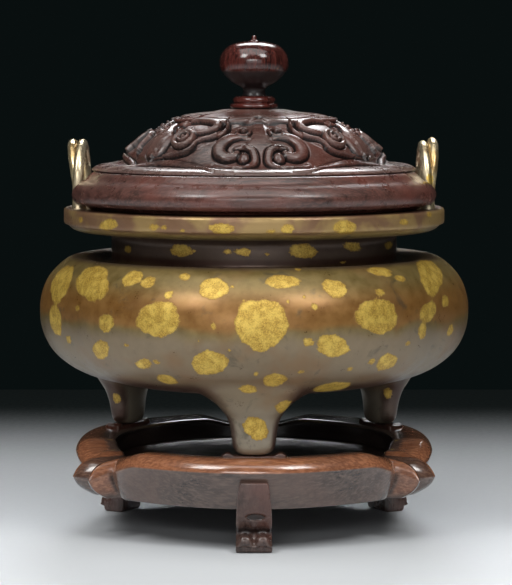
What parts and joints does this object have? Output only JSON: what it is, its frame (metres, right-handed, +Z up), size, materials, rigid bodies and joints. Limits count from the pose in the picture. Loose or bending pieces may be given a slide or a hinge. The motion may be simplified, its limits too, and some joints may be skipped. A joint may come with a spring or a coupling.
{
  "type": "tripod incense burner",
  "caption": "Round bellied tripod incense burner with rope handles, a domed carved wood lid with a knob finial, and a lobed wood stand.",
  "frame": {"origin": "on the surface it stands on, at the middle of the whole object's plan outline; the vessel's axis stands 2.4 mm behind it", "axes": "+Z up, -Y to the front lobe and front leg, the two handles at +X and -X"},
  "size_m": [0.1716, 0.1696, 0.195],
  "materials": {
    "splashed_bronze": "satin brown patina with ragged gold splashes",
    "handle_bronze": "rubbed golden bronze",
    "lid_wood": "polished dark hardwood, carved",
    "finial_wood": "polished reddish hardwood, turned",
    "stand_wood": "polished dark hardwood, carved",
    "panel_wood": "polished dark hardwood board"
  },
  "bodies": {
    "stand": {"stand_rail_front": "stand_wood", "stand_rail_left": "stand_wood", "stand_rail_right": "stand_wood", "stand_leg_front": "stand_wood", "stand_leg_left": "stand_wood", "stand_leg_right": "stand_wood", "stand_tongue_back": "stand_wood", "stand_tongue_left": "stand_wood", "stand_tongue_right": "stand_wood", "stand_seat_front": "stand_wood", "stand_seat_left": "stand_wood", "stand_seat_right": "stand_wood", "stand_floor_panel": "panel_wood"},
    "censer": {"censer_body": "splashed_bronze", "censer_leg_front": "splashed_bronze", "censer_leg_left": "splashed_bronze", "censer_leg_right": "splashed_bronze", "handle_left_strand_inner": "handle_bronze", "handle_left_strand_outer": "handle_bronze", "handle_right_strand_inner": "handle_bronze", "handle_right_strand_outer": "handle_bronze"},
    "lid": {"lid_flange": "lid_wood", "lid_dome": "lid_wood", "finial_collar": "finial_wood", "finial_knob": "finial_wood", "finial_pin": "finial_wood"}
  },
  "joints": [
    {"name": "censer_lift", "type": "slide", "parent": "stand", "child": "censer", "axis": [0, 0, 1], "range_m": [0, 0.06]},
    {"name": "lid_lift", "type": "slide", "parent": "censer", "child": "lid", "axis": [0, 0, 1], "range_m": [0, 0.07]}
  ]
}
